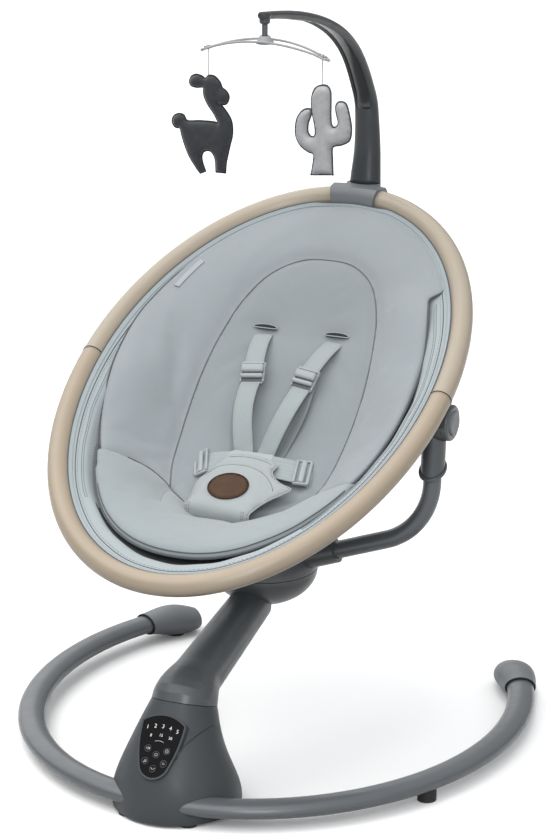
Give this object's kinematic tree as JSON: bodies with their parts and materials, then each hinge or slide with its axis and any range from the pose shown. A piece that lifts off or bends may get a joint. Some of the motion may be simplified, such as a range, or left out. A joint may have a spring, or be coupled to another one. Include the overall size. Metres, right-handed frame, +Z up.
{
  "type": "baby swing",
  "caption": "Powered baby swing: tilted oval seat ring with padded bucket and harness, swing arm on a conical drive base with keys, C-shaped floor tube and a toy bar with hanging toys.",
  "frame": {"origin": "floor level, centre of the bounding box seen from above", "axes": "+Z up, -Y towards the control panel and the foot end of the seat, +Y towards the head end and the toy bar, +X to the right seen from the front"},
  "size_m": [0.634, 0.6553, 0.9015],
  "materials": {
    "slate_plastic": "satin",
    "slate_tube": "satin",
    "grey_plastic": "satin",
    "rubber": "matt",
    "black_gloss": "gloss",
    "steel": "bare",
    "copper": "wound",
    "inner_plastic": "matt",
    "board": "matt",
    "champagne": "satin",
    "sling_fabric": "woven",
    "insert_fabric": "soft",
    "webbing": "woven",
    "harness_plastic": "satin",
    "tan_leather": "smooth",
    "bow_plastic": "satin",
    "string": "twisted",
    "charcoal_felt": "felt",
    "grey_felt": "felt"
  },
  "bodies": {
    "base": {"base_housing": "slate_plastic", "base_bottom_cover": "slate_plastic", "base_screws": "steel", "housing_pads": "rubber", "base_tube_left": "slate_tube", "base_tube_right": "slate_tube", "tube_joiner": "inner_plastic", "foot_cap_left": "grey_plastic", "foot_cap_right": "grey_plastic", "floor_pads": "rubber", "control_panel": "black_gloss", "main_board": "board", "speaker": "inner_plastic", "dc_inlet": "inner_plastic", "shaft_bushes": "inner_plastic", "coil_core": "steel", "drive_coil": "copper"},
    "swing_arm": {"swing_shaft": "steel", "magnet_lever": "steel", "drive_magnet": "steel", "arm_shell": "slate_plastic", "hub_lower_shell": "slate_plastic", "hub_upper_shell": "slate_plastic", "hub_clamp": "inner_plastic", "support_tube": "slate_tube", "pivot_support_left": "slate_plastic", "pivot_support_right": "slate_plastic", "pivot_pins": "slate_plastic"},
    "seat": {"seat_ring_upper": "champagne", "seat_ring_lower": "champagne", "ring_joiners": "inner_plastic", "pivot_lugs": "slate_plastic", "seat_sling": "sling_fabric", "seat_insert": "insert_fabric", "shoulder_straps": "webbing", "shoulder_adjusters": "harness_plastic", "waist_straps": "webbing", "waist_adjusters": "harness_plastic", "harness_buckle": "harness_plastic", "crotch_strap": "webbing", "crotch_pad": "insert_fabric", "pad_badge": "tan_leather", "toy_clamp": "grey_plastic", "toy_arm": "slate_plastic", "mobile_rod": "slate_plastic"},
    "mobile": {"mobile_bow": "bow_plastic"},
    "llama_pendant": {"toy_eyelet_left": "bow_plastic", "toy_string_left": "string", "toy_llama": "charcoal_felt"},
    "cactus_pendant": {"toy_eyelet_right": "bow_plastic", "toy_string_right": "string", "toy_cactus": "grey_felt"},
    "recline_button_left": {"recline_button_left": "grey_plastic"},
    "recline_button_right": {"recline_button_right": "grey_plastic"},
    "panel_key_volume": {"panel_key_volume": "black_gloss"},
    "panel_key_timer": {"panel_key_timer": "black_gloss"},
    "panel_key_power": {"panel_key_power": "black_gloss"},
    "panel_key_music": {"panel_key_music": "black_gloss"},
    "panel_key_speed": {"panel_key_speed": "black_gloss"},
    "panel_key_motion": {"panel_key_motion": "black_gloss"}
  },
  "joints": [
    {"name": "arm_swing", "type": "hinge", "parent": "base", "child": "swing_arm", "pos_m": [0, -0.228, 0.12], "axis": [0, 0.342, 0.9397], "range_deg": [-12, 12]},
    {"name": "seat_recline", "type": "hinge", "parent": "swing_arm", "child": "seat", "pos_m": [0, 0.01086, 0.42581], "axis": [1, 0, 0], "range_deg": [-14, 0]},
    {"name": "mobile_spin", "type": "hinge", "parent": "seat", "child": "mobile", "pos_m": [0, 0, 0.869], "axis": [0, 0, 1], "continuous": true},
    {"name": "llama_sway", "type": "hinge", "parent": "mobile", "child": "llama_pendant", "pos_m": [-0.0735, 0, 0.85342], "axis": [1, 0, 0], "range_deg": [-35, 35]},
    {"name": "cactus_sway", "type": "hinge", "parent": "mobile", "child": "cactus_pendant", "pos_m": [0.0735, 0, 0.85342], "axis": [1, 0, 0], "range_deg": [-35, 35]},
    {"name": "recline_press_left", "type": "slide", "parent": "swing_arm", "child": "recline_button_left", "axis": [1, 0, 0], "range_m": [0, 0.0025], "stiffness_N_per_m": 700},
    {"name": "recline_press_right", "type": "slide", "parent": "swing_arm", "child": "recline_button_right", "axis": [-1, 0, 0], "range_m": [0, 0.0025], "stiffness_N_per_m": 700},
    {"name": "press_volume", "type": "slide", "parent": "base", "child": "panel_key_volume", "axis": [0, 0.8141, -0.5807], "range_m": [0, 0.0006], "stiffness_N_per_m": 600},
    {"name": "press_timer", "type": "slide", "parent": "base", "child": "panel_key_timer", "axis": [0, 0.8141, -0.5807], "range_m": [0, 0.0006], "stiffness_N_per_m": 600},
    {"name": "press_power", "type": "slide", "parent": "base", "child": "panel_key_power", "axis": [0, 0.8141, -0.5807], "range_m": [0, 0.0006], "stiffness_N_per_m": 600},
    {"name": "press_music", "type": "slide", "parent": "base", "child": "panel_key_music", "axis": [0, 0.8141, -0.5807], "range_m": [0, 0.0006], "stiffness_N_per_m": 600},
    {"name": "press_speed", "type": "slide", "parent": "base", "child": "panel_key_speed", "axis": [0, 0.8141, -0.5807], "range_m": [0, 0.0006], "stiffness_N_per_m": 600},
    {"name": "press_motion", "type": "slide", "parent": "base", "child": "panel_key_motion", "axis": [0, 0.8141, -0.5807], "range_m": [0, 0.0006], "stiffness_N_per_m": 600}
  ]
}
